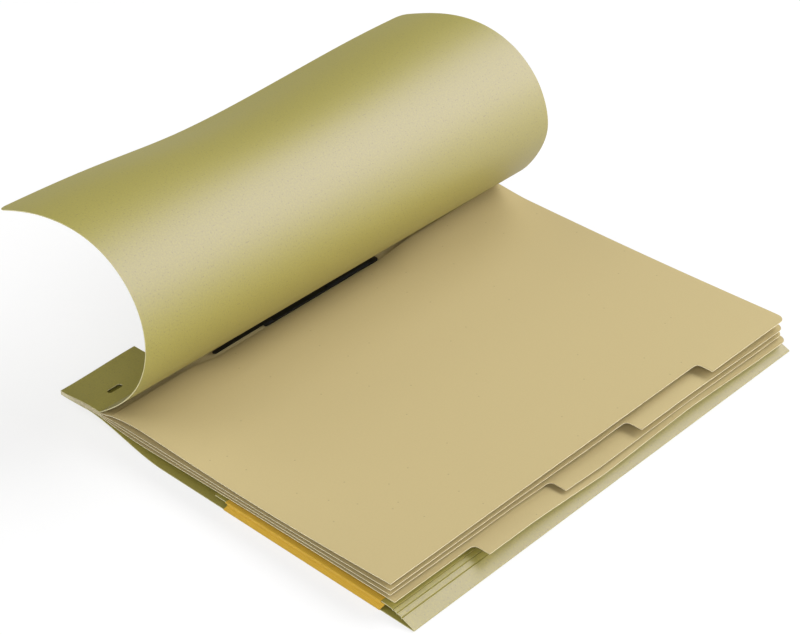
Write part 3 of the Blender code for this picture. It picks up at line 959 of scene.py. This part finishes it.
class FOLDER_OT_fastener(Operator):
    """Adds the two-prong fastener: base strip, prongs and the bar that they fold over"""

    bl_idname = "folder.fastener"
    bl_label = "Fastener"

    def execute(self, context):
        plastic = [stock(context)["moulded_polypropylene"]]
        x, prongs = prong_places()
        low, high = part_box("fastener_bar")
        near_end, far_end = low.y - NEAR_Y, high.y - NEAR_Y
        half_width = (high.x - low.x) / 2
        bar_z = (low.z + high.z) / 2
        slot = oblong(*BAR_SLOT, (0, 0))
        slots = [[(x + v, y + u) for u, v in slot] for y in prongs]
        bar_outline = rounded([
            (x - half_width, near_end, BAR_CORNER), (x + half_width, near_end, BAR_CORNER),
            (x + half_width, far_end, BAR_CORNER), (x - half_width, far_end, BAR_CORNER)])
        bar = bent_sheet(
            "fastener_bar_moulding", bar_outline, lambda u, v: world_point(u, v, bar_z + lift(v)),
            high.z - low.z, plastic, holes=slots)
        edges = bar.modifiers.new("edges", "BEVEL")
        edges.width = BAR_EDGE
        edges.segments = BAR_EDGE_FACETS
        edges.limit_method = "ANGLE"
        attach(bar, "bound_spine")
        finished(["fastener_bar"])

        box_low, box_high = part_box("fastener_prongs")
        prong_half = (box_high.x - box_low.x) / 2
        base_z = box_low.z + PRONG_THICKNESS / 2
        top_z = high.z + PRONG_THICKNESS / 2 + PRONG_CLEARANCE
        base = bent_sheet(
            "fastener_base_strip", bar_outline, lambda u, v: world_point(u, v, base_z + lift(v)),
            PRONG_THICKNESS, plastic)
        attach(base, "bound_spine")
        finished(["fastener_prongs"])
        tip = box_low.y - NEAR_Y
        for side, y, end in (("near", prongs[0], tip), ("far", prongs[1], prongs[1] - PRONG_INWARD)):
            line = [(y, base_z)]
            for turn in steps(0, math.pi / 2, BEND_PACE):
                line.append((
                    y - PRONG_BEND * (1 - math.cos(turn)), top_z - PRONG_BEND + PRONG_BEND * math.sin(turn)))
            reach = near_end - NEAR_STRAIGHT if side == "near" else y - FAR_STRAIGHT
            line.append((reach, top_z))
            for step in steps(0.1, 1.0, 0.1):
                drop = TIP_DROOP * step * step if side == "near" else 0
                line.append((reach + (end - reach) * step, top_z - drop))
            reached, at = track(line)

            def prong(u, v):
                along, z = at(u)
                return world_point(x + v, along, z + lift(along))

            length = float(reached[-1])
            outline = rounded([
                (0, -prong_half, 0), (length, -prong_half, PRONG_CORNER),
                (length, prong_half, PRONG_CORNER), (0, prong_half, 0)])
            piece = bent_sheet(
                f"fastener_prong_{side}", outline, prong, PRONG_THICKNESS, plastic,
                across=corners_of(reached))
            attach(piece, "bound_spine")
            finished()
        return {"FINISHED"}


# Softboxes: direction from the folder, distance, width and height in metres, and power in watts
SOFTBOXES = {
    "key_softbox": ((0.70, 0.56, 0.44), 3.2, 2.6, 2.2, 56.0),
    "back_softbox": ((0.15, 0.62, 0.77), 3.2, 3.2, 1.8, 78.0),
    "front_softbox": ((0.55, -0.60, 0.58), 3.2, 2.4, 2.0, 50.0),
    "left_softbox": ((-0.60, -0.50, 0.62), 3.0, 2.4, 1.8, 30.0),
}
WORLD_LEVEL = 0.08
FLOOR_REACH = 30.0
FLOOR_Z = -0.0002

# Near the folder, where its shadow falls, the floor is white by itself to this share, and further away fully
FLOOR_GLOW = 0.74
SHADOW_REACH = (0.5, 1.6)


class FOLDER_OT_stage(Operator):
    """Adds the floor, the light and the camera"""

    bl_idname = "folder.stage"
    bl_label = "Stage"

    def execute(self, context):
        scene = context.scene
        scene.view_settings.view_transform = "Standard"
        reach = FLOOR_REACH
        floor_mesh = bpy.data.meshes.new("floor")
        floor_mesh.from_pydata(
            [(-reach, -reach, 0), (reach, -reach, 0), (reach, reach, 0), (-reach, reach, 0)], [],
            [(0, 1, 2, 3)])
        floor = bpy.data.objects.new("floor", floor_mesh)
        floor.location.z = FLOOR_Z
        scene.collection.objects.link(floor)
        made, tree, shader = fresh_material("white_paper_floor")
        shader.inputs["Base Color"].default_value = linear("FAFAFA")
        shader.inputs["Roughness"].default_value = 0.9
        path = add_node(tree, "ShaderNodeLightPath", {}, {})
        seen = path.outputs["Is Camera Ray"]
        for ray in ("Is Glossy Ray", "Is Transmission Ray"):
            seen = add_node(tree, "ShaderNodeMath", {"operation": "MAXIMUM"}, {
                0: seen, 1: path.outputs[ray]}).outputs["Value"]
        place = add_node(tree, "ShaderNodeNewGeometry", {}, {})
        away = add_node(tree, "ShaderNodeVectorMath", {"operation": "LENGTH"}, {0: place.outputs["Position"]})
        glow = add_node(tree, "ShaderNodeMapRange", {"interpolation_type": "SMOOTHSTEP"}, {
            "Value": away.outputs["Value"], "From Min": SHADOW_REACH[0], "From Max": SHADOW_REACH[1],
            "To Min": FLOOR_GLOW, "To Max": 1.0})
        share = add_node(tree, "ShaderNodeMath", {"operation": "MULTIPLY"}, {
            0: seen, 1: glow.outputs["Result"]})
        white = add_node(tree, "ShaderNodeEmission", {}, {"Color": (1, 1, 1, 1), "Strength": 1.0})
        mixed = add_node(tree, "ShaderNodeMixShader", {}, {
            0: share.outputs["Value"], 1: shader.outputs["BSDF"], 2: white.outputs["Emission"]})
        tree.links.new(mixed.outputs["Shader"], tree.nodes["Material Output"].inputs["Surface"])
        floor_mesh.materials.append(made)

        world = bpy.data.worlds.new("studio")
        scene.world = world
        world.use_nodes = True
        back = world.node_tree.nodes["Background"]
        back.inputs["Color"].default_value = (1, 1, 1, 1)
        sight = add_node(world.node_tree, "ShaderNodeLightPath", {}, {})
        level = add_node(world.node_tree, "ShaderNodeMapRange", {}, {
            "Value": sight.outputs["Is Camera Ray"], "To Min": WORLD_LEVEL, "To Max": 1.0})
        world.node_tree.links.new(level.outputs["Result"], back.inputs["Strength"])

        for name, (direction, distance, width, height, power) in SOFTBOXES.items():
            lamp = bpy.data.lights.new(name, "AREA")
            lamp.shape = "RECTANGLE"
            lamp.size = width
            lamp.size_y = height
            lamp.energy = power
            softbox = bpy.data.objects.new(name, lamp)
            softbox.location = Vector(direction).normalized() * distance
            softbox.rotation_euler = (-softbox.location).to_track_quat("-Z", "Y").to_euler()
            softbox.visible_camera = False
            scene.collection.objects.link(softbox)

        lens = bpy.data.cameras.new("camera")
        lens.lens = CAMERA_LENS
        lens.sensor_width = SENSOR_WIDTH
        lens.sensor_fit = "HORIZONTAL"
        camera = bpy.data.objects.new("camera", lens)
        camera.location = world_point(*CAMERA_PLACE)
        camera.rotation_euler = (math.pi / 2 - CAMERA_ELEVATION, 0, CAMERA_AZIMUTH)
        scene.collection.objects.link(camera)
        scene.camera = camera
        return {"FINISHED"}


class FOLDER_PT_parts(Panel):
    """Sidebar panel with the folder's operators, sizes and colours"""

    bl_label = "Hanging File Folder"
    bl_idname = "FOLDER_PT_parts"
    bl_space_type = "VIEW_3D"
    bl_region_type = "UI"
    bl_category = "Folder"

    def draw(self, context):
        for operator in OPERATORS:
            self.layout.operator(operator.bl_idname)
        for key in FolderSizes.__annotations__:
            self.layout.prop(context.scene.folder_sizes, key)
        for key in FolderColours.__annotations__:
            self.layout.prop(context.scene.folder_colours, key)


OPERATORS = (
    FOLDER_OT_stage,
    FOLDER_OT_front_cover,
    FOLDER_OT_dividers,
    FOLDER_OT_back_cover,
    FOLDER_OT_gussets,
    FOLDER_OT_fastener,
)
CLASSES = (FolderSizes, FolderColours) + OPERATORS + (FOLDER_PT_parts,)


def register():
    """Registers the classes and the scene's settings."""
    for cls in CLASSES:
        bpy.utils.register_class(cls)
    bpy.types.Scene.folder_sizes = PointerProperty(type=FolderSizes)
    bpy.types.Scene.folder_colours = PointerProperty(type=FolderColours)


def unregister():
    """Takes the classes and the settings away again."""
    del bpy.types.Scene.folder_colours
    del bpy.types.Scene.folder_sizes
    for cls in reversed(CLASSES):
        bpy.utils.unregister_class(cls)


def main():
    """Makes the folder piece by piece."""
    register()
    bpy.ops.folder.stage()
    bpy.ops.folder.front_cover()
    bpy.ops.folder.dividers()
    bpy.ops.folder.back_cover()
    bpy.ops.folder.gussets()
    bpy.ops.folder.fastener()


if __name__ == "__main__":
    main()
